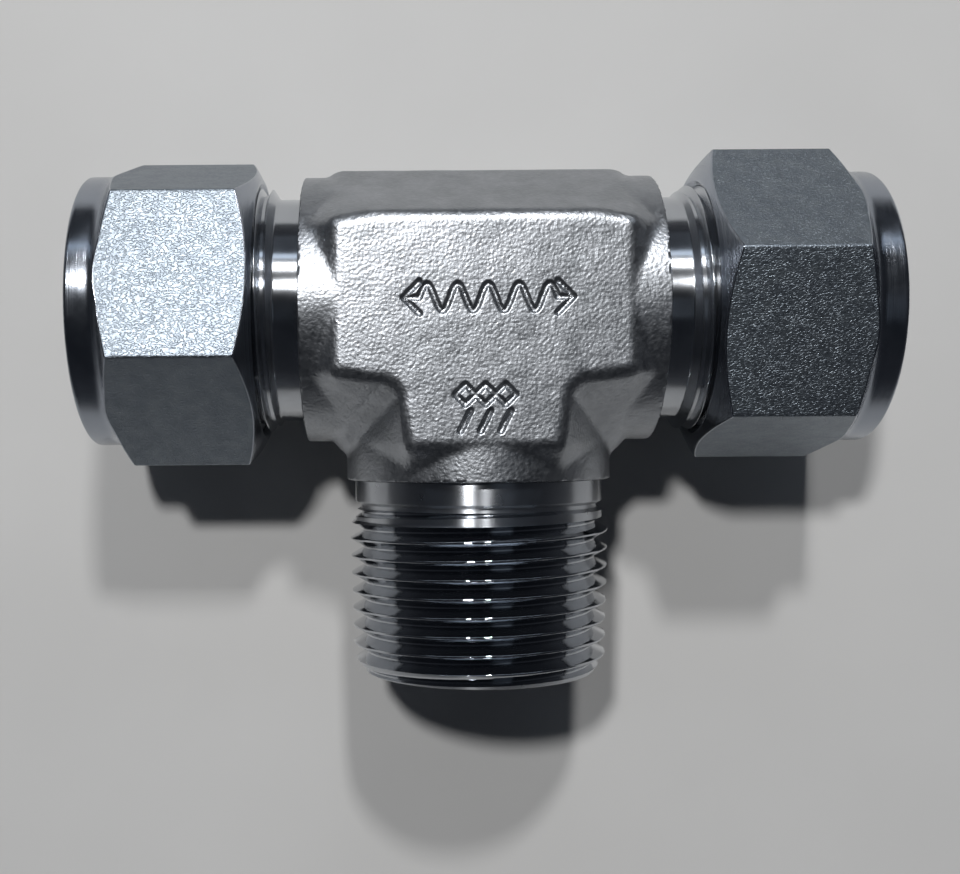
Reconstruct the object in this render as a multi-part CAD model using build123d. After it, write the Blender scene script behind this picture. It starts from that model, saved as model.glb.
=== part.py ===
from build123d import *
import os
from math import cos, radians, sin, sqrt, tan

os.makedirs("parts", exist_ok=True)

# A union tee for 3/4 inch tube on the run, with a 3/4 inch male taper pipe thread on the branch.
# The origin is where the run and branch axes cross. The run lies along X, the branch points to -Y,
# and +Z is up when the tee lies on its side. All sizes are in millimetres.

# Forged body
FLATS = 27.6                # across the flats of each arm
CORNERS = 28.5              # across the trimmed corners of each arm, in the plane of the tee
ARM = 17.85                 # from the centre to the end of each arm
COLLAR_R = 13.75            # round collar at the end of each arm
BLOCK = 14.4                # from the centre to where an arm stops being hexagonal
BLOCK_SLOPE = 1.5           # length of the slope from the hexagon down into the collar
BLOCK_STEP = 2.5            # height of that slope
COLLAR_START = 11.4         # where the collar starts, inside the hexagon
FACET_START = 10.4          # where the facets on an arm's long ridges begin
FACET_TURN = 56.9           # direction a facet faces, in degrees from Z around the arm
FACET_TILT = 7.4            # lean of a facet towards the end of the arm, in degrees

# Run ends, each a compression port
TUBE_D = 19.05              # outside diameter of the tube
TUBE_GAP = 0.095            # radial clearance round the tube in the body and the ferrules
SOCKET_R = TUBE_D / 2 + TUBE_GAP
SOCKET_END = 15.4           # shoulder that the tube's end meets
RUN_BORE_R = 7.85           # flow passage through the run and the branch
NECK_START = 15.6           # inside the arm
NECK_R = 11.55
THREAD_START = 20.4         # end of the neck and start of the port's thread
THREAD_R = 12.35            # pitch radius of the 1-20 port thread
THREAD_CHAMFER = 0.8
NOSE = 31.0                 # outer end of the body
MOUTH = 3.2                 # depth of the cone that takes the front ferrule
MOUTH_ANGLE = 20.0

# Branch: 3/4-14 taper pipe thread
BRANCH_NECK_R = 12.9
BRANCH_NECK_END = 20.0
PIPE_START = 20.7           # first crest
PIPE_END = 37.7             # from the centre to the end of the branch
PIPE_PITCH = 25.4 / 14
PIPE_TAPER = 1 / 32         # change of radius for each millimetre of length
PIPE_CREST_R = 13.02        # crest radius at the small end
PIPE_DEPTH = 1.3
PIPE_FLAT = 0.12            # width of a crest or root
PIPE_END_R = 11.9           # radius of the end face
PIPE_LAND = 0.5             # length of the last stretch at that radius

# Nut
NUT_FLATS = 28.4
NUT_INNER = 22.2            # end nearest the body, with the nut finger-tight
NUT_OUTER = 39.9
NUT_CORNER_INNER = 23.7     # where the hexagon's corners start and end
NUT_CORNER_OUTER = 35.65
NUT_CHAMFER = 30.0          # angle of both hexagon chamfers from the end faces
NUT_COLLAR_R = 14.0
NUT_EDGE = 0.35             # edge break at the outer end
NUT_THREAD_GAP = 0.06       # radial clearance on the body's thread
NUT_LEAD_R = 13.3           # countersink at the inner end of the nut's thread
NUT_THREAD_END = 32.2
NUT_RELIEF = 0.6            # length of the cone from the thread down to the chamber
NUT_CHAMBER_R = 11.8        # space round the ferrules
NUT_SHOULDER = 35.8         # face that pushes on the back ferrule
NUT_BORE_R = TUBE_D / 2 + 0.195
NUT_LEFT_TURN = 9.5         # how far each nut's top flat is turned towards +Y, in degrees
NUT_RIGHT_TURN = -15.4
NUT_RIGHT_OUT = 0.25        # how much further out the right nut stands, screwed on a little less

# Ferrules
FERRULE_BORE_R = SOCKET_R
FRONT_TIP = 28.4
FRONT_TIP_WALL = 0.17
FRONT_FLANGE = 31.8         # start of the front ferrule's thick ring
FRONT_R = 11.6
FRONT_END = 33.9
FRONT_SEAT = 1.0            # depth of the cone in the front ferrule's back
FRONT_SEAT_R = 11.0
BACK_TIP = 33.15
BACK_TIP_WALL = 0.2
BACK_FLANGE = 34.3
BACK_R = 11.3
BACK_END = 35.7

CLEAR = 1.0                 # how far a cutting shape runs past the face that it opens


def ring(points):
    """Solid of revolution about X, from (x, radius) points."""
    outline = make_face(Polyline(*points, close=True))
    return revolve(outline, axis=Axis.X)


def arm_section(step):
    """Trimmed hexagon across an arm, drawn in by step."""
    half = FLATS / 2 - step
    trim = CORNERS / 2 - step
    flat = half * tan(radians(30))
    side = 2 * half - sqrt(3) * trim
    corners = [(flat, half), (trim, side), (trim, -side), (flat, -half)]
    corners += [(-y, z) for y, z in reversed(corners)]
    return make_face(Polyline(*corners, close=True))


def facet_cut():
    """Material above the facet on one ridge of an arm."""
    tilt = radians(FACET_TILT)
    turn = radians(FACET_TURN)
    facing = (sin(tilt), cos(tilt) * sin(turn), cos(tilt) * cos(turn))
    ridge = (FACET_START, FLATS / 2 * tan(radians(30)), FLATS / 2)
    size = 2 * FLATS
    block = Box(size, size, size, align=(Align.CENTER, Align.CENTER, Align.MIN))
    return Plane(origin=ridge, z_dir=facing) * block


def arm():
    """One forged arm along +X, from the centre to its end."""
    block = extrude(Plane.YZ * arm_section(0), BLOCK)
    slope = loft([
        Plane.YZ.offset(BLOCK) * arm_section(0),
        Plane.YZ.offset(BLOCK + BLOCK_SLOPE) * arm_section(BLOCK_STEP),
    ])
    body = block + slope
    cut = facet_cut()
    for corner in (cut, mirror(cut, about=Plane.XY)):
        body -= corner
        body -= mirror(corner, about=Plane.XZ)
    collar = ring([(COLLAR_START, 0), (COLLAR_START, COLLAR_R), (ARM, COLLAR_R), (ARM, 0)])
    return body + collar


def port():
    """Neck and threaded nose of the run end on +X."""
    return ring([
        (NECK_START, 0),
        (NECK_START, NECK_R),
        (THREAD_START, NECK_R),
        (THREAD_START + THREAD_CHAMFER, THREAD_R),
        (NOSE - THREAD_CHAMFER, THREAD_R),
        (NOSE, THREAD_R - THREAD_CHAMFER),
        (NOSE, 0),
    ])


def port_hole():
    """Tube socket and ferrule cone of the run end on +X."""
    mouth_r = SOCKET_R + MOUTH * tan(radians(MOUTH_ANGLE))
    return ring([
        (SOCKET_END, 0),
        (SOCKET_END, SOCKET_R),
        (NOSE - MOUTH, SOCKET_R),
        (NOSE, mouth_r),
        (NOSE + CLEAR, mouth_r),
        (NOSE + CLEAR, 0),
    ])


def pipe_crest_r(x):
    """Crest radius of the pipe thread at distance x from the centre."""
    return PIPE_CREST_R + (PIPE_END - x) * PIPE_TAPER


def pipe_thread():
    """Branch neck and pipe thread along +X, its thread made of closed rings."""
    points = [(NECK_START, 0), (NECK_START, BRANCH_NECK_R), (BRANCH_NECK_END, BRANCH_NECK_R)]
    crest = PIPE_START
    end_chamfer = PIPE_END - (PIPE_CREST_R - PIPE_END_R)
    while crest < end_chamfer - PIPE_PITCH / 2:
        root = crest - PIPE_PITCH / 2
        root_r = pipe_crest_r(root) - PIPE_DEPTH
        if root > BRANCH_NECK_END:
            points.append((root - PIPE_FLAT / 2, root_r))
            points.append((root + PIPE_FLAT / 2, root_r))
        points.append((crest - PIPE_FLAT / 2, pipe_crest_r(crest)))
        points.append((crest + PIPE_FLAT / 2, pipe_crest_r(crest)))
        crest += PIPE_PITCH
    points += [(PIPE_END - PIPE_LAND, PIPE_END_R), (PIPE_END, PIPE_END_R), (PIPE_END, 0)]
    return ring(points)


def tee_body():
    """Forged tee with its two compression ports, its pipe thread and its bores."""
    right = arm() + port()
    body = right + mirror(right, about=Plane.YZ)
    body += Rot(Z=-90) * (arm() + pipe_thread())
    hole = port_hole()
    body -= hole
    body -= mirror(hole, about=Plane.YZ)
    body -= Rot(Y=90) * Cylinder(RUN_BORE_R, 2 * NOSE)
    passage_end = PIPE_END + CLEAR
    passage = ring([(0, 0), (0, RUN_BORE_R), (passage_end, RUN_BORE_R), (passage_end, 0)])
    body -= Rot(Z=-90) * passage
    return body


def nut():
    """Hexagon nut on the +X port, top flat level."""
    corner_r = NUT_FLATS / sqrt(3)
    slope = tan(radians(NUT_CHAMFER))
    hexagon = extrude(Plane.YZ.offset(NUT_INNER) * RegularPolygon(corner_r, 6), NUT_OUTER - NUT_INNER)
    face_r = corner_r - (NUT_CORNER_INNER - NUT_INNER) / slope
    collar_x = NUT_CORNER_OUTER + (corner_r - NUT_COLLAR_R) * slope
    turned = ring([
        (NUT_INNER, 0),
        (NUT_INNER, face_r),
        (NUT_CORNER_INNER + CLEAR * slope, corner_r + CLEAR),
        (NUT_CORNER_OUTER - CLEAR * slope, corner_r + CLEAR),
        (collar_x, NUT_COLLAR_R),
        (NUT_OUTER - NUT_EDGE, NUT_COLLAR_R),
        (NUT_OUTER, NUT_COLLAR_R - NUT_EDGE),
        (NUT_OUTER, 0),
    ])
    thread_r = THREAD_R + NUT_THREAD_GAP
    lead_depth = NUT_LEAD_R - thread_r
    hole = ring([
        (NUT_INNER - CLEAR, 0),
        (NUT_INNER - CLEAR, NUT_LEAD_R + CLEAR),
        (NUT_INNER + lead_depth, thread_r),
        (NUT_THREAD_END, thread_r),
        (NUT_THREAD_END + NUT_RELIEF, NUT_CHAMBER_R),
        (NUT_SHOULDER, NUT_CHAMBER_R),
        (NUT_SHOULDER, NUT_BORE_R),
        (NUT_OUTER - NUT_EDGE, NUT_BORE_R),
        (NUT_OUTER + CLEAR, NUT_BORE_R + NUT_EDGE + CLEAR),
        (NUT_OUTER + CLEAR, 0),
    ])
    return hexagon & turned - hole


def front_ferrule():
    """Front ferrule of the +X port, its nose in the body's cone."""
    tip_r = FERRULE_BORE_R + FRONT_TIP_WALL
    nose_r = tip_r + (FRONT_FLANGE - FRONT_TIP) * tan(radians(MOUTH_ANGLE))
    return ring([
        (FRONT_TIP, FERRULE_BORE_R),
        (FRONT_TIP, tip_r),
        (FRONT_FLANGE, nose_r),
        (FRONT_FLANGE, FRONT_R),
        (FRONT_END, FRONT_R),
        (FRONT_END, FRONT_SEAT_R),
        (FRONT_END - FRONT_SEAT, FERRULE_BORE_R),
    ])


def back_ferrule():
    """Back ferrule of the +X port, its nose in the front ferrule's back."""
    return ring([
        (BACK_TIP, FERRULE_BORE_R),
        (BACK_TIP, FERRULE_BORE_R + BACK_TIP_WALL),
        (BACK_FLANGE, FRONT_SEAT_R),
        (BACK_FLANGE, BACK_R),
        (BACK_END, BACK_R),
        (BACK_END, FERRULE_BORE_R),
    ])


def main():
    right_nut = nut()
    left_nut = mirror(right_nut, about=Plane.YZ)
    pieces = {
        "tee_body": tee_body(),
        "nut_right": Pos(X=NUT_RIGHT_OUT) * Rot(X=-NUT_RIGHT_TURN) * right_nut,
        "nut_left": Rot(X=-NUT_LEFT_TURN) * left_nut,
    }
    for name, ferrule in (("front", front_ferrule()), ("back", back_ferrule())):
        pieces[name + "_ferrule_right"] = ferrule
        pieces[name + "_ferrule_left"] = mirror(ferrule, about=Plane.YZ)
    for node, solid in pieces.items():
        export_step(solid, "parts/" + node + ".step")
        print(node, round(solid.volume, 1))


main()
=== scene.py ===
import itertools
import math

import bmesh
import bpy
import numpy as np
from mathutils import Matrix, Vector


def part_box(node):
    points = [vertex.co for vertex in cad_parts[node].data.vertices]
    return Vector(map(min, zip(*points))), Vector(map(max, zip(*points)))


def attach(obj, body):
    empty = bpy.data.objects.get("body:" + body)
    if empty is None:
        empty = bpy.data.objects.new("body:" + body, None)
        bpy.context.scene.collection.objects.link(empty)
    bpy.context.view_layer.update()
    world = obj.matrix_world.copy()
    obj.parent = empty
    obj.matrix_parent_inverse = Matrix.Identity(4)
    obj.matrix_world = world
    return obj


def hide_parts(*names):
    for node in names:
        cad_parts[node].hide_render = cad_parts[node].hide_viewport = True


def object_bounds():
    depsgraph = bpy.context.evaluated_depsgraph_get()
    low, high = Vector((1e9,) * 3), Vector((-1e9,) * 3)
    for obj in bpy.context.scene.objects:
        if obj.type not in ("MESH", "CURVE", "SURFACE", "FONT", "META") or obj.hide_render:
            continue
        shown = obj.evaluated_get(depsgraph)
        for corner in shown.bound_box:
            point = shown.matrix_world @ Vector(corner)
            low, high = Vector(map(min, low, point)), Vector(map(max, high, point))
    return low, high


# A male branch tee: a forged body with a threaded port at each end of the run, a taper pipe thread on
# the branch, and a nut with two ferrules on each port. The run lies along X, the branch points to -Y
# and +Z is up. Sizes are in millimetres until a mesh is made, and the stage's are in metres.

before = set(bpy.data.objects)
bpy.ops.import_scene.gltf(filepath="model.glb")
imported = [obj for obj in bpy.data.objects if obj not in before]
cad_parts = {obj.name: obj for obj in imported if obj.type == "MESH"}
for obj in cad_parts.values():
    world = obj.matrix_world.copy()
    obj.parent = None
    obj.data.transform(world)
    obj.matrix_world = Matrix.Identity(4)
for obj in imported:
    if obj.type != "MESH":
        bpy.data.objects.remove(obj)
cad_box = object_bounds()
MM = 0.001


def node_box(node):
    """Lowest and highest corner of a CAD node, in millimetres."""
    low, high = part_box(node)
    return np.array(low) / MM, np.array(high) / MM


body_low, body_high = node_box("tee_body")
nut_low, nut_high = node_box("nut_left")
right_nut_high = node_box("nut_right")[1]
front_low, front_high = node_box("front_ferrule_right")
back_low, back_high = node_box("back_ferrule_right")

# Forging
HALF_FLATS = body_high[2]       # from the axis to each flat
HALF_CORNERS = body_high[1]     # from the axis to the trimmed corners
ARM = 17.85                     # length of each forged arm
COLLAR_R = 13.75                # round end of each arm
BLOCK = 14.6                    # where an arm stops being hexagonal
BLOCK_SLOPE = 1.2               # length of the slope from the hexagon down into the collar
BLOCK_STEP = 2.5                # height of that slope
FACET_START = 10.4              # where the facets on an arm's long ridges begin
FACET_TURN = math.radians(56.9)     # direction a facet faces, from Z around the arm
FACET_TILT = math.radians(7.4)  # its lean towards the end of the arm
HEX_TURN = math.radians(60)     # direction a hexagon's slanted side faces
RIDGE_EDGE = 0.8                # rounding of the long ridges
LAND_EDGE = 0.35                # rounding beside the trimmed corners
BLOCK_EDGE = 0.8                # rounding where the hexagon ends
FACET_EDGE = 0.12               # rounding round the facets
ARM_EDGE = 0.2                  # rounding at the end of an arm
SCOOP = 1.6                     # hollow between the hexagon's end and the collar
LEAST_HOLLOW = 0.01             # smallest radius of that hollow, where the collar stands proud
CROTCH = 1.8                    # hollow between the run and the branch
GRID = 0.3                      # spacing of the mesh's points
PROBE = 0.01                    # step for the slope of the distance
LEAST_SLOPE = 0.25              # squared slope below which a point's step is held back
SETTLE_ROUNDS = 3               # steps that bring the points onto the surface
SKIN = ((2.4, 0.018, 11), (1.1, 0.014, 12))     # lumps of the skin: size, height, seed
LATTICE = 64                    # random values each way before the lumps repeat

# Sunken marks on the forging's top flat
STROKE = 0.42                   # half the width of a stroke
STROKE_DEPTH = 0.32
STROKE_STEP = 0.15              # spacing of points along a stroke
FINE_CUTS = 3                   # cuts in each edge of the mesh near a stroke
WAVE_START = -6.2
WAVE_END = 6.9
WAVES = 4.5
WAVE_HEIGHT = 1.25
WAVE_Y = -0.2
HEAD = 1.5                      # length of an arrowhead's strokes
CODE_X = (-1.9, 0.0, 1.9)       # the three small marks in each row
DIAMOND_Y = -9.4
DASH_Y = -11.9
CODE_HALF = 0.95                # half the height of a small mark

# Ports of the run
NOSE = body_high[0]             # outer end
NECK_R = 11.55
THREAD_START = 20.4
THREAD_PITCH = 1.27
THREAD_CREST_R = 12.7
THREAD_ROOT_R = 11.95
THREAD_ROUND = 0.09             # radius of every crest's rounding
THREAD_LEAD = 0.8               # chamfer at both ends of the thread
SOCKET_R = 9.62
SOCKET_END = 15.4               # shoulder that the tube's end meets
PASSAGE_R = 7.85
NECK_FILLET = 0.3
MOUTH = 3.2                     # depth of the cone that takes the front ferrule
MOUTH_SLOPE = math.tan(math.radians(20))
FLANK = math.tan(math.radians(30))      # half the angle of every thread
BLANK = 0.05                    # how far the blank that a thread is cut from stands past its crests
RUN_IN = 2                      # turns by which the rod of a thread reaches past its blank

# Branch
PIPE_END = -body_low[1]
PIPE_NECK_R = 12.9
PIPE_NECK_END = 20.0
PIPE_GROOVE_R = 12.35
PIPE_GROOVE_END = 20.7
PIPE_CUT_END = 21.95            # end of the stretch whose crests are turned down to the neck's radius
PIPE_RISE = 0.5                 # length over which the crests then rise to their full height
PIPE_PITCH = 25.4 / 14
PIPE_TAPER = 1 / 32
PIPE_CREST_R = 13.02            # crest radius at the small end
PIPE_DEPTH = 1.3
PIPE_ROUND = 0.15               # radius of every crest's rounding
PIPE_PHASE = 21.19              # a crest's distance from the centre on the side facing +X
PIPE_END_R = 11.9               # radius of the end face
PIPE_CHAMFER = 1.6              # length of the chamfer at the end
PIPE_END_EDGE = 0.15            # rounding at the end face
PIPE_LEAD = 0.4                 # chamfer of the passage's mouth
JOIN = 0.05                     # how far the neck and the thread each reach into the other

# Nut
NUT_INNER = -nut_high[0]
NUT_OUTER = -nut_low[0]
NUT_OUT = {"left": 0, "right": right_nut_high[0] - NUT_OUTER}   # how much further out a nut stands
NUT_FLAT = 14.2                 # from the axis to a flat
NUT_CORNER_R = NUT_FLAT / math.cos(math.pi / 6)
NUT_CORNER_INNER = 23.7         # where the hexagon's corners start and end
NUT_CORNER_OUTER = 35.65
NUT_SLOPE = math.tan(math.radians(27.5))    # lean of both chamfers
NUT_COLLAR_R = 14.0
NUT_HOLLOW = 1.5                # radius between the outer chamfer and the collar
NUT_CORNER_EDGE = 0.3           # rounding of the hexagon's corners
NUT_RIM = 0.12                  # rounding where the flats meet the chamfers
NUT_EDGE = 0.4                  # rounding and bore chamfer at the outer end face
NUT_COLUMNS = 30                # columns of points across each flat
NUT_FALL = 8                    # rows of faces down the outer chamfer
NUT_MINOR_R = 12.05             # inner thread
NUT_MAJOR_R = 12.85
NUT_ROUND = 0.08                # radius at the bottom of its grooves
NUT_LEAD_R = 13.2               # countersink at the inner end
NUT_RELIEF = 29.5               # groove that the inner thread runs out into
NUT_RELIEF_R = 12.95
NUT_RELIEF_END = 32.2
NUT_CHAMBER_R = 11.8
NUT_SHOULDER = back_high[0] + 0.1
NUT_BORE_R = 9.72
NUT_TURN = {"right": math.radians(15.4), "left": math.radians(9.5)}

# Ferrules
FRONT_WALL = 0.17               # thickness at the thin end
FRONT_FLANGE = 31.8             # where the cone ends and the flange starts
FRONT_SEAT = 1.0                # depth of the seat for the back ferrule
FRONT_SEAT_R = 11.0
BACK_WALL = 0.2
BACK_FLANGE = 34.3
BACK_CONE_R = 11.0

SEGMENTS = 200                  # faces round a turned piece
SMALL_EDGE = 0.1                # rounding of a turned edge
ARC_STEPS = 5                   # points in a small rounding
CREST_STEPS = 7                 # points across the rounding of a thread's crest
HAIR = 1e-7                     # points nearer than this, in metres, are one point
OVER = 1.0                      # how far a cutting shape runs past the face that it opens
NEAR = 0.02                     # what still counts as on a face, or level with it
FORGED_CREASE = 50              # sharpest edge, in degrees, that is shaded smooth
TURNED_CREASE = 25

# Colours
FORGED_STAIN = ((0.325, 0.34, 0.36), (0.41, 0.425, 0.45))
BAR_STAIN = ((0.215, 0.245, 0.28), (0.265, 0.30, 0.335))
BRIGHT_STEEL = (0.52, 0.54, 0.57)
NUT_STEEL = (0.38, 0.41, 0.46)
SMUDGE = 0.9                    # brightness of a smudge on turned steel
FLOOR_TONES = ((0.61, 0.605, 0.595), (0.64, 0.635, 0.625))

# Stage, in metres, with the camera's lens and sensor in millimetres
CAMERA_PLACE = (-0.00763, -0.01337, 0.1295)
CAMERA_ROLL = math.radians(-0.42)
CAMERA_LENS = 45.97
CAMERA_SENSOR = 36.0
CAMERA_SHIFT = 0.078
CAMERA_NEAR = 0.01
FLOOR_HALF = 1.2
LAMP_DISTANCE = 0.7
LAMP_R = 0.03
LAMP_CONE = math.radians(80)
PANEL_DISTANCE = 0.9
PANEL_COLOUR = (0.75, 0.86, 1.0)
AIM = Vector((0, -0.015, 0))    # point that every light faces
HORIZON = (0.055, 0.058, 0.065)
HAZE = (0.024, 0.026, 0.031)    # surroundings where the paler band ends
HAZE_TOP = 0.35                 # height of that place on a unit sphere
ZENITH = (0.012, 0.014, 0.018)


# Mesh helpers

def add_object(name, mesh, materials):
    """Object for a finished mesh."""
    for material in materials:
        mesh.materials.append(material)
    piece = bpy.data.objects.new(name, mesh)
    bpy.context.scene.collection.objects.link(piece)
    return piece


def add_piece(name, points, faces, materials):
    """Mesh object from points in millimetres, its faces facing outwards."""
    mesh = bpy.data.meshes.new(name)
    mesh.from_pydata((np.asarray(points) * MM).tolist(), [], faces)
    work = bmesh.new()
    work.from_mesh(mesh)
    bmesh.ops.remove_doubles(work, verts=work.verts, dist=HAIR)
    bmesh.ops.recalc_face_normals(work, faces=work.faces)
    work.to_mesh(mesh)
    work.free()
    return add_object(name, mesh, materials)


def rounded(corners):
    """Outline from (x, radius) or (x, radius, rounding) corners that run round a section."""
    points = []
    for i, corner in enumerate(corners):
        here = np.array(corner[:2], float)
        if len(corner) == 2:
            points.append(here)
            continue
        before = np.array(corners[i - 1][:2], float) - here
        after = np.array(corners[(i + 1) % len(corners)][:2], float) - here
        before /= np.linalg.norm(before)
        after /= np.linalg.norm(after)
        half = math.acos(np.clip(before @ after, -1, 1)) / 2
        middle = (before + after) / np.linalg.norm(before + after)
        centre = here + middle * corner[2] / math.sin(half)
        first = here + before * corner[2] / math.tan(half) - centre
        last = here + after * corner[2] / math.tan(half) - centre
        for share in np.linspace(0, 1, ARC_STEPS):
            spoke = first * (1 - share) + last * share
            points.append(centre + spoke / np.linalg.norm(spoke) * corner[2])
    return points


def turned(name, corners, material):
    """Closed solid of revolution about X from the corners of its section."""
    outline = rounded(corners)
    angles = [2 * math.pi * j / SEGMENTS for j in range(SEGMENTS)]
    points = [(x, r * math.cos(angle), r * math.sin(angle)) for x, r in outline for angle in angles]
    faces = []
    for i, (_, radius) in enumerate(outline):
        after = (i + 1) % len(outline)
        if radius == 0 and outline[after][1] == 0:
            continue
        for j in range(SEGMENTS):
            k = (j + 1) % SEGMENTS
            here, there = i * SEGMENTS, after * SEGMENTS
            faces.append((here + j, there + j, there + k, here + k))
    return add_piece(name, points, faces, [material])


def thread_knots(root_r, crest_r, crest_round, pitch):
    """(share of a pitch, radius) corners of one 60 degree thread, its rounded crest in the middle."""
    lean = math.pi / 3
    foot = crest_round * math.sin(lean) + (crest_r - root_r - crest_round / 2) * FLANK
    points = [(-foot, root_r)]
    for share in np.linspace(-1, 1, CREST_STEPS):
        turn = share * lean
        points.append((crest_round * math.sin(turn), crest_r - crest_round * (1 - math.cos(turn))))
    points.append((foot, root_r))
    return [(0.5 + x / pitch, radius) for x, radius in points]


def threaded_rod(name, crest_x, turns, pitch, knots, taper, material):
    """Closed right-hand threaded rod about X, a crest at crest_x on the side facing +Y."""
    per_turn = len(knots)
    rows = turns * per_turn
    points = []
    for i in range(rows + 1):
        share, knot_r = knots[i % per_turn]
        for j in range(SEGMENTS):
            x = crest_x + pitch * (share - 0.5 + i // per_turn + j / SEGMENTS)
            radius = knot_r - taper * x
            angle = 2 * math.pi * j / SEGMENTS
            points.append((x, radius * math.cos(angle), radius * math.sin(angle)))
    faces = []
    for row in range(0, rows * SEGMENTS, SEGMENTS):
        above = row + SEGMENTS
        faces += [(row + j, row + j + 1, above + j + 1, above + j) for j in range(SEGMENTS - 1)]
    for i in range(rows - per_turn):
        last = i * SEGMENTS + SEGMENTS - 1
        first = (i + per_turn) * SEGMENTS
        faces.append((last, first, first + SEGMENTS, last + SEGMENTS))
    start_loop = list(range(SEGMENTS)) + [i * SEGMENTS for i in range(per_turn, 0, -1)]
    end_loop = list(range(rows * SEGMENTS, (rows + 1) * SEGMENTS))
    end_loop += [i * SEGMENTS + SEGMENTS - 1 for i in range(rows - 1, rows - per_turn - 1, -1)]
    for loop, x in ((start_loop, crest_x), (end_loop, crest_x + pitch * turns)):
        faces += [(a, b, len(points)) for a, b in zip(loop, loop[1:] + loop[:1])]
        points.append((x, 0, 0))
    return add_piece(name, points, faces, [material])


def combine(piece, other, operation):
    """Joins, cuts or intersects a piece with another one, which is used up."""
    modifier = piece.modifiers.new("combine", "BOOLEAN")
    modifier.solver = "MANIFOLD"
    modifier.operation = operation
    modifier.material_mode = "TRANSFER"
    modifier.object = other
    graph = bpy.context.evaluated_depsgraph_get()
    mesh = bpy.data.meshes.new_from_object(piece.evaluated_get(graph))
    piece.modifiers.clear()
    piece.data = mesh
    bpy.data.objects.remove(other)
    return piece


def shade(piece, angle):
    """Smooth shading, with edges sharper than an angle in degrees kept crisp."""
    mesh = piece.data
    mesh.shade_smooth()
    mesh.set_sharp_from_angle(angle=math.radians(angle))
    return piece


def turn_to(piece, side):
    """Turns a piece made along +X to the left port or the branch."""
    angle = {"right": 0, "left": math.pi, "branch": -math.pi / 2}[side]
    piece.data.transform(Matrix.Rotation(angle, 4, "Z"))
    return piece


# Forging: a field of signed distances, then a mesh of its zero level

def round_cut(a, b, radius):
    """Distance of what two shapes share, its outer edge rounded."""
    return np.minimum(np.maximum(a, b), -radius) + np.hypot(
        np.maximum(a + radius, 0), np.maximum(b + radius, 0))


def round_join(a, b, radius):
    """Distance of two shapes together, the corner between them hollowed to a radius."""
    return -round_cut(-a, -b, radius)


def arm_sides(along, across, up):
    """Distance of a forged arm's sides and end, without its flats, and of its collar with its hollow."""
    flat = up - HALF_FLATS
    slant = across * math.sin(HEX_TURN) + up * math.cos(HEX_TURN) - HALF_FLATS
    side = across - HALF_CORNERS
    sides = round_cut(slant, side, LAND_EDGE)
    hexagon = np.maximum(sides, flat)
    slope = math.hypot(BLOCK_SLOPE, BLOCK_STEP)
    end = ((along - BLOCK) * BLOCK_STEP + hexagon * BLOCK_SLOPE) / slope
    facet = (
        (along - FACET_START) * math.sin(FACET_TILT)
        + (across - HALF_FLATS * FLANK) * math.cos(FACET_TILT) * math.sin(FACET_TURN)
        + (up - HALF_FLATS) * math.cos(FACET_TILT) * math.cos(FACET_TURN)
    )
    block = round_cut(round_cut(sides, facet, FACET_EDGE), end, BLOCK_EDGE)
    collar = np.maximum(np.hypot(across, up) - COLLAR_R, along - ARM)
    hollow = np.clip(np.hypot(across, up) - COLLAR_R - hexagon, LEAST_HOLLOW, SCOOP)
    return block, collar, hollow


def smooth_forging(points):
    """Distance from the forging's plain surface, without marks or skin."""
    x, y, z = np.abs(points[:, 0]), points[:, 1], np.abs(points[:, 2])
    run, run_collar, run_hollow = arm_sides(x, np.abs(y), z)
    branch, branch_collar, branch_hollow = arm_sides(-y, x, z)
    branch = np.maximum(branch, y)
    branch_collar = np.maximum(branch_collar, y)
    block = round_cut(round_join(run, branch, CROTCH), z - HALF_FLATS, RIDGE_EDGE)
    shape = round_join(block, run_collar, run_hollow)
    shape = round_join(shape, branch_collar, branch_hollow)
    ends = np.maximum(x, -y) - ARM
    return round_cut(shape, ends, ARM_EDGE)


def lumps(points, size, seed):
    """Smooth noise from -1 to 1 with lumps of about a size."""
    lattice = np.random.RandomState(seed).uniform(-1, 1, (LATTICE,) * 3)
    base = np.floor(points / size).astype(int)
    share = points / size - base
    share = share * share * (3 - 2 * share)
    total = np.zeros(len(points))
    for corner in itertools.product((0, 1), repeat=3):
        weight = np.prod(np.where(corner, share, 1 - share), axis=1)
        index = (base + corner) % LATTICE
        total += weight * lattice[index[:, 0], index[:, 1], index[:, 2]]
    return total


def line_points(corners):
    """Points along straight strokes between corners."""
    points = []
    for start, end in zip(corners, corners[1:]):
        steps = max(2, int(math.dist(start, end) / STROKE_STEP))
        points += np.linspace(start, end, steps).tolist()
    return points


def arrowhead(tip, direction):
    """Two strokes that make an arrowhead at a point, facing along X."""
    back = tip[0] - direction * HEAD
    return line_points([(back, tip[1] + HEAD), tip, (back, tip[1] - HEAD)])


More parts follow.
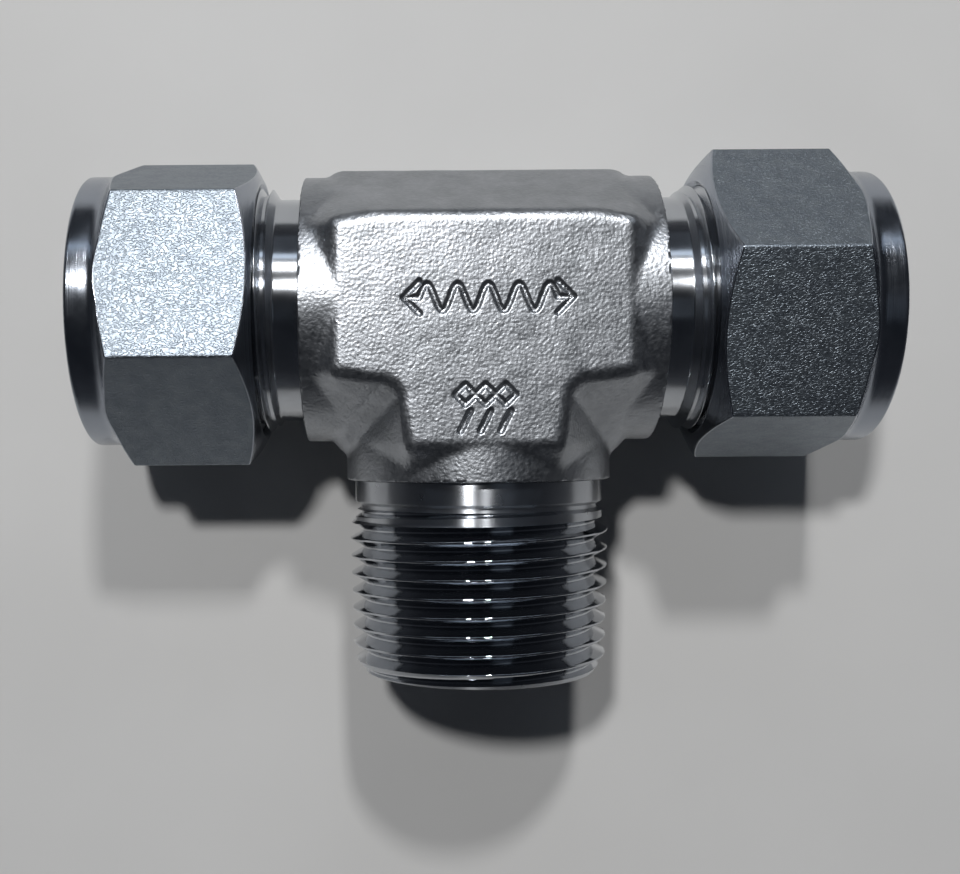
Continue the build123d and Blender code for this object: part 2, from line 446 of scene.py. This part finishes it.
def mark_strokes():
    """Points along every sunken stroke: a wavy flow arrow, and two rows of small marks."""
    steps = int(2 * (WAVE_END - WAVE_START) / STROKE_STEP)
    strokes = []
    for share in np.linspace(0, 1, steps):
        x = WAVE_START + (WAVE_END - WAVE_START) * share
        strokes.append([x, WAVE_Y + WAVE_HEIGHT * math.sin(2 * math.pi * WAVES * share)])
    strokes += arrowhead((WAVE_START - HEAD, WAVE_Y), -1)
    strokes += arrowhead((WAVE_END + HEAD, WAVE_Y), 1)
    strokes += line_points([(WAVE_START - HEAD, WAVE_Y), (WAVE_START, WAVE_Y)])
    strokes += line_points([(WAVE_END, WAVE_Y), (WAVE_END + HEAD, WAVE_Y)])
    for x in CODE_X:
        diamond = [(x - CODE_HALF, DIAMOND_Y), (x, DIAMOND_Y + CODE_HALF), (x + CODE_HALF, DIAMOND_Y)]
        strokes += line_points(diamond + [(x, DIAMOND_Y - CODE_HALF), diamond[0]])
        lean = CODE_HALF / 2
        strokes += line_points([(x - lean, DASH_Y - CODE_HALF), (x + lean, DASH_Y + CODE_HALF)])
    return np.array(strokes)


def stroke_distance(points, strokes):
    """Distance of each point from the nearest stroke, seen from above."""
    nearest = np.full(len(points), np.inf)
    for x, y in strokes:
        nearest = np.minimum(nearest, np.hypot(points[:, 0] - x, points[:, 1] - y))
    return nearest


def forging(points, strokes):
    """Distance from the forging's surface, with its sunken marks and lumpy skin."""
    distance = smooth_forging(points)
    top = (points[:, 2] > HALF_FLATS - 2 * STROKE_DEPTH) & (points[:, 1] < WAVE_Y + 2 * HEAD)
    depth = np.clip(stroke_distance(points[top], strokes) / STROKE, 0, 1)
    distance[top] += STROKE_DEPTH * (1 + np.cos(math.pi * depth)) / 2
    skin = np.clip(ARM - ARM_EDGE - np.maximum(np.abs(points[:, 0]), -points[:, 1]), 0, 1)
    for size, height, seed in SKIN:
        distance += height * lumps(points, size, seed) * skin
    return distance


def settle(points, field):
    """Moves points onto a field's zero level."""
    for _ in range(SETTLE_ROUNDS):
        here = field(points)
        slope = np.stack([field(points + PROBE * axis) - here for axis in np.eye(3)], axis=1) / PROBE
        points = points - slope * (here / np.maximum((slope ** 2).sum(1), LEAST_SLOPE))[:, None]
    return points


def zero_level(field, low, high):
    """Quad mesh of a field's zero level, one point for each grid cell that it crosses."""
    axes = [np.arange(a, b + GRID, GRID) for a, b in zip(low, high)]
    sample = np.stack(np.meshgrid(*axes, indexing="ij"), axis=-1)
    shape = sample.shape[:3]
    values = field(sample.reshape(-1, 3)).reshape(shape)
    inside = values < 0
    total = np.zeros([n - 1 for n in shape] + [4])
    for axis in range(3):
        ahead = [slice(None)] * 3
        ahead[axis] = slice(1, None)
        behind = [slice(None)] * 3
        behind[axis] = slice(None, -1)
        crossed = inside[tuple(ahead)] != inside[tuple(behind)]
        start, end = values[tuple(behind)], values[tuple(ahead)]
        share = np.where(crossed, start / np.where(crossed, start - end, 1), 0)
        place = sample[tuple(behind)].copy()
        place[..., axis] += share * GRID
        found = np.concatenate([place, np.ones(place.shape[:3] + (1,))], axis=3) * crossed[..., None]
        others = [i for i in range(3) if i != axis]
        for shift in itertools.product((slice(None, -1), slice(1, None)), repeat=2):
            window = [slice(None)] * 3
            window[others[0]], window[others[1]] = shift
            total += found[tuple(window)]
    used = total[..., 3] > 0
    number = np.full(used.shape, -1)
    number[used] = np.arange(used.sum())
    points = total[used][:, :3] / total[used][:, 3:]
    return points, cell_faces(inside, number)


def cell_faces(inside, number):
    """Quads round every grid edge that the surface crosses, from the numbers of the cells' points."""
    faces = []
    for axis in range(3):
        first, second = [i for i in range(3) if i != axis]
        ahead = np.moveaxis(inside, (axis, first, second), (0, 1, 2))
        cells = np.moveaxis(number, (axis, first, second), (0, 1, 2))
        i, j, k = np.nonzero(ahead[1:, 1:-1, 1:-1] != ahead[:-1, 1:-1, 1:-1])
        quad = (cells[i, j, k], cells[i, j + 1, k], cells[i, j + 1, k + 1], cells[i, j, k + 1])
        faces += np.stack(quad, axis=1).tolist()
    return faces


def refine_marks(piece, strokes):
    """Splits the faces near the marks into small ones."""
    work = bmesh.new()
    work.from_mesh(piece.data)
    level = (HALF_FLATS - STROKE_DEPTH) * MM
    high = [face for face in work.faces if face.calc_center_median().z > level]
    middles = np.array([face.calc_center_median() for face in high]) / MM
    close = stroke_distance(middles, strokes) < STROKE + GRID
    edges = {edge for face, wanted in zip(high, close) if wanted for edge in face.edges}
    bmesh.ops.subdivide_edges(work, edges=list(edges), cuts=FINE_CUTS, use_grid_fill=True)
    work.to_mesh(piece.data)
    work.free()


def points_of(mesh):
    """A mesh's points as an array, in millimetres."""
    values = np.empty(len(mesh.vertices) * 3, np.float32)
    mesh.vertices.foreach_get("co", values)
    return values.reshape(-1, 3).astype(float) / MM


def make_forging(materials):
    """The forged body, cut open for the passages and tube sockets."""
    strokes = mark_strokes()
    margin = 2 * GRID
    low = np.array([-ARM - margin, -ARM - margin, -HALF_FLATS - margin])
    high = np.array([ARM + margin, HALF_CORNERS + margin, HALF_FLATS + margin])
    points, faces = zero_level(smooth_forging, low, high)
    points = settle(points, smooth_forging)
    piece = add_piece("tee_forging", points, faces, materials)
    refine_marks(piece, strokes)
    points = settle(points_of(piece.data), lambda places: forging(places, strokes))
    piece.data.vertices.foreach_set("co", (points * MM).astype(np.float32).ravel())
    piece.data.update()
    middles = np.array([polygon.center for polygon in piece.data.polygons]) / MM
    machined = np.maximum(np.abs(middles[:, 0]), -middles[:, 1]) > ARM - NEAR
    piece.data.polygons.foreach_set("material_index", machined.astype(np.int32))
    past_arm = ARM + OVER
    for side in ("right", "left"):
        socket = turned("socket", [
            (0, 0),
            (0, PASSAGE_R),
            (SOCKET_END, PASSAGE_R),
            (SOCKET_END, SOCKET_R),
            (past_arm, SOCKET_R),
            (past_arm, 0),
        ], materials[1])
        combine(piece, turn_to(socket, side), "DIFFERENCE")
    outline = [(0, 0), (0, PASSAGE_R), (past_arm, PASSAGE_R), (past_arm, 0)]
    passage = turned("passage", outline, materials[1])
    combine(piece, turn_to(passage, "branch"), "DIFFERENCE")
    return shade(piece, FORGED_CREASE)


# Threads, nuts and ferrules

def make_port(side, material):
    """Neck and threaded nose of one run end, with its tube socket."""
    mouth_r = SOCKET_R + MOUTH * MOUTH_SLOPE
    crest_r = THREAD_CREST_R + BLANK
    piece = turned("port_" + side, [
        (ARM, SOCKET_R),
        (ARM, NECK_R),
        (THREAD_START, NECK_R, NECK_FILLET),
        (THREAD_START + THREAD_LEAD, crest_r),
        (NOSE - THREAD_LEAD, crest_r),
        (NOSE, crest_r - THREAD_LEAD, SMALL_EDGE),
        (NOSE, mouth_r, SMALL_EDGE),
        (NOSE - MOUTH, SOCKET_R),
    ], material)
    knots = thread_knots(THREAD_ROOT_R, THREAD_CREST_R, THREAD_ROUND, THREAD_PITCH)
    start = ARM - RUN_IN * THREAD_PITCH
    turns = math.ceil((NOSE - ARM) / THREAD_PITCH) + RUN_IN + 1
    rod = threaded_rod("thread", start, turns, THREAD_PITCH, knots, 0, material)
    combine(piece, rod, "INTERSECT")
    return shade(turn_to(piece, side), TURNED_CREASE)


def make_pipe_thread(material, thread_material):
    """Neck and taper pipe thread of the branch."""
    big_r = PIPE_CREST_R + BLANK
    rise_end = PIPE_CUT_END + PIPE_RISE
    slope = (PIPE_NECK_R - PIPE_GROOVE_R) * FLANK
    piece = turned("pipe_thread", [
        (PIPE_GROOVE_END - 2 * JOIN, 0),
        (PIPE_GROOVE_END - 2 * JOIN, PIPE_GROOVE_R),
        (PIPE_GROOVE_END, PIPE_GROOVE_R),
        (PIPE_GROOVE_END + slope, PIPE_NECK_R),
        (PIPE_CUT_END, PIPE_NECK_R),
        (rise_end, big_r + (PIPE_END - rise_end) * PIPE_TAPER),
        (PIPE_END - PIPE_CHAMFER, big_r + PIPE_CHAMFER * PIPE_TAPER),
        (PIPE_END, PIPE_END_R, PIPE_END_EDGE),
        (PIPE_END, 0),
    ], material)
    small_r = PIPE_CREST_R + PIPE_END * PIPE_TAPER
    knots = thread_knots(small_r - PIPE_DEPTH, small_r, PIPE_ROUND, PIPE_PITCH)
    start = PIPE_PHASE - RUN_IN * PIPE_PITCH
    turns = math.ceil((PIPE_END - PIPE_GROOVE_END) / PIPE_PITCH) + RUN_IN + 1
    rod = threaded_rod("thread", start, turns, PIPE_PITCH, knots, PIPE_TAPER, thread_material)
    combine(piece, rod, "INTERSECT")
    neck = turned("neck", [
        (ARM, 0),
        (ARM, PIPE_NECK_R),
        (PIPE_NECK_END, PIPE_NECK_R, SMALL_EDGE),
        (PIPE_NECK_END + slope, PIPE_GROOVE_R, SMALL_EDGE),
        (PIPE_GROOVE_END + JOIN, PIPE_GROOVE_R),
        (PIPE_GROOVE_END + JOIN, 0),
    ], material)
    combine(piece, neck, "UNION")
    hole = turned("passage", [
        (0, 0),
        (0, PASSAGE_R),
        (PIPE_END - PIPE_LEAD, PASSAGE_R),
        (PIPE_END + OVER, PASSAGE_R + OVER + PIPE_LEAD),
        (PIPE_END + OVER, 0),
    ], material)
    combine(piece, hole, "DIFFERENCE")
    return shade(turn_to(piece, "branch"), TURNED_CREASE)


def hexagon_r(turn):
    """Radius of the nut's hexagon at an angle from the middle of a flat, its corners rounded."""
    centre = (NUT_FLAT - NUT_CORNER_EDGE) / math.cos(math.pi / 6)
    off = abs(math.pi / 6 - abs(turn))
    tangent = math.atan2(NUT_CORNER_EDGE / 2, centre + NUT_CORNER_EDGE * math.cos(math.pi / 6))
    if off > tangent:
        return NUT_FLAT / math.cos(turn)
    return centre * math.cos(off) + math.sqrt(NUT_CORNER_EDGE ** 2 - (centre * math.sin(off)) ** 2)


def outer_chamfer_x(radius):
    """Where the nut's outer chamfer, and its hollow into the collar, have a radius."""
    cone = NUT_CORNER_OUTER + (NUT_CORNER_R - radius) * NUT_SLOPE
    lean = math.atan(NUT_SLOPE)
    collar_x = NUT_CORNER_OUTER + (NUT_CORNER_R - NUT_COLLAR_R) * NUT_SLOPE
    tangent = NUT_HOLLOW * math.tan((math.pi / 2 - lean) / 2)
    above = NUT_COLLAR_R + NUT_HOLLOW - radius
    if radius > NUT_COLLAR_R + tangent * math.cos(lean):
        return cone
    return collar_x + tangent - math.sqrt(max(NUT_HOLLOW ** 2 - above ** 2, 0))


def rim_points(before, corner, after):
    """Three points of a small rounding that replaces a corner."""
    before, corner, after = (np.array(point) for point in (before, corner, after))
    return [before, (before + 2 * corner + after) / 4, after]


def nut_column(turn):
    """(x, radius) points along the outside of the nut, at an angle from the middle of a flat."""
    radius = hexagon_r(turn)
    inner_x = NUT_CORNER_INNER - (NUT_CORNER_R - radius) * NUT_SLOPE
    outer_x = outer_chamfer_x(radius)
    face_r = NUT_CORNER_R - (NUT_CORNER_INNER - NUT_INNER) / NUT_SLOPE
    points = [(NUT_INNER, 0), (NUT_INNER, face_r)]
    points.append((inner_x - 2 * NUT_RIM * NUT_SLOPE, radius - 2 * NUT_RIM))
    before = (inner_x - NUT_RIM * NUT_SLOPE, radius - NUT_RIM)
    points += rim_points(before, (inner_x, radius), (inner_x + NUT_RIM, radius))
    points += [(inner_x + 2 * NUT_RIM, radius), (outer_x - 2 * NUT_RIM, radius)]
    lower = radius - NUT_RIM * (radius - NUT_COLLAR_R)
    after = (outer_chamfer_x(lower), lower)
    points += rim_points((outer_x - NUT_RIM, radius), (outer_x, radius), after)
    for i in range(1, NUT_FALL + 1):
        share = (1 - i / NUT_FALL) ** 2
        here = NUT_COLLAR_R + (lower - NUT_COLLAR_R) * share
        points.append((outer_chamfer_x(here), here))
    edge = [(NUT_OUTER, NUT_COLLAR_R, NUT_EDGE), (NUT_OUTER, 0), (points[-1][0], NUT_COLLAR_R)]
    points += rounded(edge)[:ARC_STEPS]
    points.append((NUT_OUTER, 0))
    return points


def nut_blank(name, first_flat, materials):
    """Solid outside of a nut along +X: a hexagon turned down at both ends."""
    corner = math.asin(NUT_CORNER_EDGE / 2 / NUT_CORNER_R)
    turns = [-math.pi / 6, corner / 2 - math.pi / 6, corner - math.pi / 6]
    span = math.pi / 6 - 2 * corner
    turns += np.linspace(-span, span, NUT_COLUMNS).tolist()
    turns += [math.pi / 6 - corner, math.pi / 6 - corner / 2]
    points = []
    for flat in range(6):
        for turn in turns:
            angle = first_flat + flat * math.pi / 3 + turn
            points += [(x, r * math.cos(angle), r * math.sin(angle)) for x, r in nut_column(turn)]
    rows = len(nut_column(0))
    columns = 6 * len(turns)
    faces = []
    for j in range(columns):
        here = j * rows
        after = (j + 1) % columns * rows
        faces += [(here + i, here + i + 1, after + i + 1, after + i) for i in range(rows - 1)]
    return add_piece(name, points, faces, materials)


def make_nut(side, materials):
    """Nut with its chamfered hexagon, turned collar, thread and tube hole."""
    piece = nut_blank("nut_" + side + "_shell", math.pi / 2 + NUT_TURN[side], materials)
    middles = np.array([polygon.center for polygon in piece.data.polygons]) / MM
    lean = np.array([polygon.normal.x for polygon in piece.data.polygons])
    flat = (np.abs(lean) < NEAR) & (np.hypot(middles[:, 1], middles[:, 2]) > NUT_COLLAR_R + NEAR)
    piece.data.polygons.foreach_set("material_index", (~flat).astype(np.int32))
    hole = turned("hole", [
        (NUT_INNER - OVER, 0),
        (NUT_INNER - OVER, NUT_LEAD_R + OVER),
        (NUT_INNER + NUT_LEAD_R - NUT_MINOR_R, NUT_MINOR_R),
        (NUT_RELIEF, NUT_MINOR_R),
        (NUT_RELIEF + NUT_RELIEF_R - NUT_MINOR_R, NUT_RELIEF_R),
        (NUT_RELIEF_END, NUT_RELIEF_R),
        (NUT_RELIEF_END + NUT_RELIEF_R - NUT_CHAMBER_R, NUT_CHAMBER_R),
        (NUT_SHOULDER, NUT_CHAMBER_R),
        (NUT_SHOULDER, NUT_BORE_R),
        (NUT_OUTER - NUT_EDGE, NUT_BORE_R),
        (NUT_OUTER + OVER, NUT_BORE_R + NUT_EDGE + OVER),
        (NUT_OUTER + OVER, 0),
    ], materials[1])
    combine(piece, hole, "DIFFERENCE")
    piece.data.transform(Matrix.Translation((NUT_OUT[side] * MM, 0, 0)))
    knots = thread_knots(NUT_MINOR_R, NUT_MAJOR_R, NUT_ROUND, THREAD_PITCH)
    # This starts whole pitches away from the port's thread, so that the two mesh.
    start = ARM + RUN_IN * THREAD_PITCH
    turns = int((NUT_RELIEF_END - start) / THREAD_PITCH) - 1
    rod = threaded_rod("thread", start, turns, THREAD_PITCH, knots, 0, materials[1])
    combine(piece, rod, "DIFFERENCE")
    return shade(turn_to(piece, side), TURNED_CREASE)


def make_front_ferrule(side, material):
    """Front ferrule: a cone for the body's mouth and a ring with a seat for the back ferrule."""
    tip_r = SOCKET_R + FRONT_WALL
    cone_r = tip_r + (FRONT_FLANGE - front_low[0]) * MOUTH_SLOPE
    piece = turned("front_ring_" + side, [
        (front_low[0], SOCKET_R),
        (front_low[0], tip_r, SMALL_EDGE / 2),
        (FRONT_FLANGE, cone_r, SMALL_EDGE * 2),
        (FRONT_FLANGE, front_high[1], SMALL_EDGE * 1.5),
        (front_high[0], front_high[1], SMALL_EDGE * 2),
        (front_high[0], FRONT_SEAT_R, SMALL_EDGE / 2),
        (front_high[0] - FRONT_SEAT, SOCKET_R),
    ], material)
    return shade(turn_to(piece, side), TURNED_CREASE)


def make_back_ferrule(side, material):
    """Back ferrule: a cone for the front ferrule's seat and a ring that the nut pushes on."""
    piece = turned("back_ring_" + side, [
        (back_low[0], SOCKET_R),
        (back_low[0], SOCKET_R + BACK_WALL, SMALL_EDGE / 2),
        (BACK_FLANGE, BACK_CONE_R, SMALL_EDGE),
        (BACK_FLANGE, back_high[1], SMALL_EDGE),
        (back_high[0], back_high[1], SMALL_EDGE * 2.5),
        (back_high[0], SOCKET_R, SMALL_EDGE * 1.5),
    ], material)
    return shade(turn_to(piece, side), TURNED_CREASE)


# Materials

class Nodes:
    """Short way to add and link a material's nodes."""

    def __init__(self, name):
        self.material = bpy.data.materials.new(name)
        self.material.use_nodes = True
        self.tree = self.material.node_tree
        self.shader = self.tree.nodes["Principled BSDF"]
        self.place = self.add("ShaderNodeTexCoord").outputs["Object"]

    def add(self, kind, **settings):
        """New node of a kind, with its settings."""
        node = self.tree.nodes.new(kind)
        for key, value in settings.items():
            setattr(node, key, value)
        return node

    def put(self, **values):
        """Sets plain values on the shader's inputs, with _ in a name for a space."""
        for name, value in values.items():
            self.shader.inputs[name.replace("_", " ")].default_value = value

    def link(self, output, target):
        """Links an output to an input, or to the shader's input of that name."""
        if isinstance(target, str):
            target = self.shader.inputs[target]
        self.tree.links.new(output, target)

    def noise(self, size, detail=2, source=None, dimensions="3D"):
        """Noise from 0 to 1 with features of about a size in millimetres."""
        node = self.add("ShaderNodeTexNoise", noise_dimensions=dimensions)
        node.inputs["Scale"].default_value = 1 / (size * MM)
        node.inputs["Detail"].default_value = detail
        target = node.inputs["W" if dimensions == "1D" else "Vector"]
        self.link(source or self.place, target)
        return node.outputs["Fac"]

    def stretched(self, share):
        """Coordinates that draw a pattern out along X, its length there divided by a share."""
        node = self.add("ShaderNodeMapping")
        node.inputs["Scale"].default_value = (share, 1, 1)
        self.link(self.place, node.inputs["Vector"])
        return node.outputs["Vector"]

    def contours(self, source, width):
        """Squiggly lines, 1 along their middles, where a noise has its middle value."""
        offset = self.add("ShaderNodeMath", operation="SUBTRACT")
        self.link(source, offset.inputs[0])
        offset.inputs[1].default_value = 0.5
        size = self.add("ShaderNodeMath", operation="ABSOLUTE")
        self.link(offset.outputs[0], size.inputs[0])
        return self.ramp(size.outputs[0], 0, width, 1.0, 0.0)

    def ramp(self, source, low, high, first, last):
        """Maps a value between low and high to a value or colour between first and last."""
        if isinstance(first, tuple):
            node = self.add("ShaderNodeValToRGB")
            for element, place, colour in zip(node.color_ramp.elements, (low, high), (first, last)):
                element.position = place
                element.color = colour + (1,)
            self.link(source, node.inputs["Fac"])
            return node.outputs["Color"]
        node = self.add("ShaderNodeMapRange")
        for key, value in (("From Min", low), ("From Max", high), ("To Min", first), ("To Max", last)):
            node.inputs[key].default_value = value
        self.link(source, node.inputs["Value"])
        return node.outputs["Result"]

    def bump(self, height, depth, under=None):
        """Bump from a height field whose full range is a depth in millimetres."""
        node = self.add("ShaderNodeBump")
        node.inputs["Distance"].default_value = depth * MM
        self.link(height, node.inputs["Height"])
        if under:
            self.link(under, node.inputs["Normal"])
        return node.outputs["Normal"]

    def along(self, axis):
        """A coordinate that is even round an axis: distance along it plus distance from it."""
        split = self.add("ShaderNodeSeparateXYZ")
        self.link(self.place, split.inputs[0])
        across = [name for name in "XYZ" if name != axis]
        flat = self.add("ShaderNodeCombineXYZ")
        self.link(split.outputs[across[0]], flat.inputs["X"])
        self.link(split.outputs[across[1]], flat.inputs["Y"])
        length = self.add("ShaderNodeVectorMath", operation="LENGTH")
        self.link(flat.outputs[0], length.inputs[0])
        total = self.add("ShaderNodeMath", operation="ADD")
        self.link(split.outputs[axis], total.inputs[0])
        self.link(length.outputs["Value"], total.inputs[1])
        return total.outputs[0]


def forged_metal():
    """Satin forged stainless steel with a pebbled, faintly stained skin."""
    nodes = Nodes("forged_steel")
    nodes.put(Metallic=1.0)
    nodes.link(nodes.ramp(nodes.noise(3.0, 4), 0.35, 0.7, *FORGED_STAIN), "Base Color")
    nodes.link(nodes.ramp(nodes.noise(0.5, 3), 0.3, 0.7, 0.31, 0.43), "Roughness")
    pebble = nodes.bump(nodes.noise(0.32, 0.5), depth=0.034)
    grain = nodes.bump(nodes.noise(0.14, 1), depth=0.012, under=pebble)
    nodes.link(grain, "Normal")
    return nodes.material


def turned_metal(name, axis, base, roughness, ridge, smear=0.0):
    """Bright steel with fine turning lines round an axis, which smear highlights along it."""
    nodes = Nodes(name)
    nodes.put(Metallic=1.0, Anisotropic=smear, Anisotropic_Rotation=0.25)
    around = nodes.add("ShaderNodeTangent", direction_type="RADIAL", axis=axis)
    nodes.link(around.outputs["Tangent"], "Tangent")
    smudge = nodes.noise(2.5, 3)
    smudged = tuple(SMUDGE * part for part in base)
    nodes.link(nodes.ramp(smudge, 0.35, 0.7, smudged, base), "Base Color")
    nodes.link(nodes.ramp(smudge, 0.3, 0.75, *roughness), "Roughness")
    along = nodes.along(axis)
    coarse = nodes.bump(nodes.noise(0.15, 2, along, "1D"), depth=ridge)
    fine = nodes.bump(nodes.noise(0.04, 1, along, "1D"), depth=0.8 * ridge, under=coarse)
    nodes.link(fine, "Normal")
    return nodes.material


def bar_metal():
    """Satin bar stock with a frosty skin of tiny bright scratches and pits."""
    nodes = Nodes("bar_steel")
    nodes.put(Metallic=1.0)
    nodes.link(nodes.ramp(nodes.noise(1.6, 4), 0.35, 0.7, *BAR_STAIN), "Base Color")
    nodes.link(nodes.ramp(nodes.noise(0.3, 3), 0.3, 0.7, 0.36, 0.47), "Roughness")
    drawn = nodes.stretched(0.6)
    scratches = nodes.bump(nodes.contours(nodes.noise(0.27, 1, drawn), 0.07), depth=0.016)
    grain = nodes.bump(nodes.noise(0.1, 1, drawn), depth=0.014, under=scratches)
    nodes.link(grain, "Normal")
    return nodes.material


def floor_material():
    """Pale matt table top."""
    nodes = Nodes("pale_floor")
    nodes.put(Roughness=0.7)
    nodes.link(nodes.ramp(nodes.noise(30.0, 3), 0.3, 0.7, *FLOOR_TONES), "Base Color")
    return nodes.material


# Stage

def make_camera():
    """Camera above the run's left half, looking straight down."""
    data = bpy.data.cameras.new("camera")
    data.sensor_width = CAMERA_SENSOR
    data.lens = CAMERA_LENS
    data.shift_x = CAMERA_SHIFT
    data.clip_start = CAMERA_NEAR
    camera = bpy.data.objects.new("camera", data)
    camera.location = CAMERA_PLACE
    camera.rotation_euler = (0, 0, CAMERA_ROLL)
    bpy.context.scene.collection.objects.link(camera)
    bpy.context.scene.camera = camera


def aim_light(name, data, lean_x, lean_y, distance):
    """Puts a light at a distance, leaning from the vertical by angles in degrees, facing the tee."""
    light = bpy.data.objects.new(name, data)
    reach = (math.tan(math.radians(lean_x)), math.tan(math.radians(lean_y)), 1)
    light.location = Vector(reach).normalized() * distance
    light.rotation_mode = "QUATERNION"
    light.rotation_quaternion = (light.location - AIM).to_track_quat("Z", "Y")
    bpy.context.scene.collection.objects.link(light)


def add_lamp(name, lean_x, lean_y, power):
    """Soft-edged round lamp whose light falls off away from the tee."""
    data = bpy.data.lights.new(name, "SPOT")
    data.energy = power
    data.shadow_soft_size = LAMP_R
    data.spot_size = LAMP_CONE
    data.spot_blend = 1.0
    aim_light(name, data, lean_x, lean_y, LAMP_DISTANCE)


def add_panel(name, lean_x, lean_y, width, depth, power):
    """Rectangular bluish panel."""
    data = bpy.data.lights.new(name, "AREA")
    data.shape = "RECTANGLE"
    data.size = width
    data.size_y = depth
    data.energy = power
    data.color = PANEL_COLOUR
    aim_light(name, data, lean_x, lean_y, PANEL_DISTANCE)


def make_floor(material):
    """Wide pale floor under the tee."""
    level = cad_box[0].z
    mesh = bpy.data.meshes.new("floor")
    signs = ((-1, -1), (1, -1), (1, 1), (-1, 1))
    corners = [(x * FLOOR_HALF, y * FLOOR_HALF, level) for x, y in signs]
    mesh.from_pydata(corners, [], [(0, 1, 2, 3)])
    add_object("floor", mesh, [material])


def make_world():
    """Surroundings that are dark overhead and paler towards the horizon."""
    world = bpy.data.worlds.new("world")
    world.use_nodes = True
    tree = world.node_tree
    place = tree.nodes.new("ShaderNodeTexCoord")
    split = tree.nodes.new("ShaderNodeSeparateXYZ")
    ramp = tree.nodes.new("ShaderNodeValToRGB")
    elements = ramp.color_ramp.elements
    elements.new(HAZE_TOP)
    for element, colour in zip(elements, (HORIZON, HAZE, ZENITH)):
        element.color = colour + (1,)
    tree.links.new(place.outputs["Generated"], split.inputs[0])
    tree.links.new(split.outputs["Z"], ramp.inputs["Fac"])
    tree.links.new(ramp.outputs["Color"], tree.nodes["Background"].inputs["Color"])
    bpy.context.scene.world = world


make_camera()
make_world()
bpy.context.scene.view_settings.view_transform = "Standard"
add_lamp("key", lean_x=-12, lean_y=21, power=9.8)
add_lamp("second", lean_x=5, lean_y=39.5, power=7.2)
add_panel("panel", lean_x=0, lean_y=62, width=0.45, depth=0.45, power=0.05)
add_panel("strip", lean_x=0, lean_y=51, width=1.8, depth=0.08, power=0.7)
add_panel("side_panel", lean_x=20, lean_y=-6, width=0.3, depth=0.3, power=0.03)
make_floor(floor_material())

forged = forged_metal()
bar = bar_metal()
run_turned = turned_metal("run_turned_steel", "X", BRIGHT_STEEL, (0.18, 0.24), ridge=0.004, smear=0.9)
branch_turned = turned_metal("branch_turned_steel", "Y", BRIGHT_STEEL, (0.27, 0.33), ridge=0.002, smear=1.0)
cut_thread = turned_metal("cut_thread_steel", "Y", BRIGHT_STEEL, (0.02, 0.04), ridge=0.003)
nut_turned = turned_metal("nut_turned_steel", "X", NUT_STEEL, (0.16, 0.24), ridge=0.01)

body_pieces = [make_forging([forged, run_turned]), make_pipe_thread(branch_turned, cut_thread)]
body_pieces += [make_port(side, run_turned) for side in ("right", "left")]
for piece in body_pieces:
    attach(piece, "body")
    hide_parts("tee_body")
for side in ("right", "left"):
    nut = make_nut(side, [bar, nut_turned])
    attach(nut, "nut_" + side)
    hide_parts("nut_" + side)
    for make, node in ((make_front_ferrule, "front_ferrule_"), (make_back_ferrule, "back_ferrule_")):
        ring = make(side, run_turned)
        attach(ring, "ferrules_" + side)
        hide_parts(node + side)
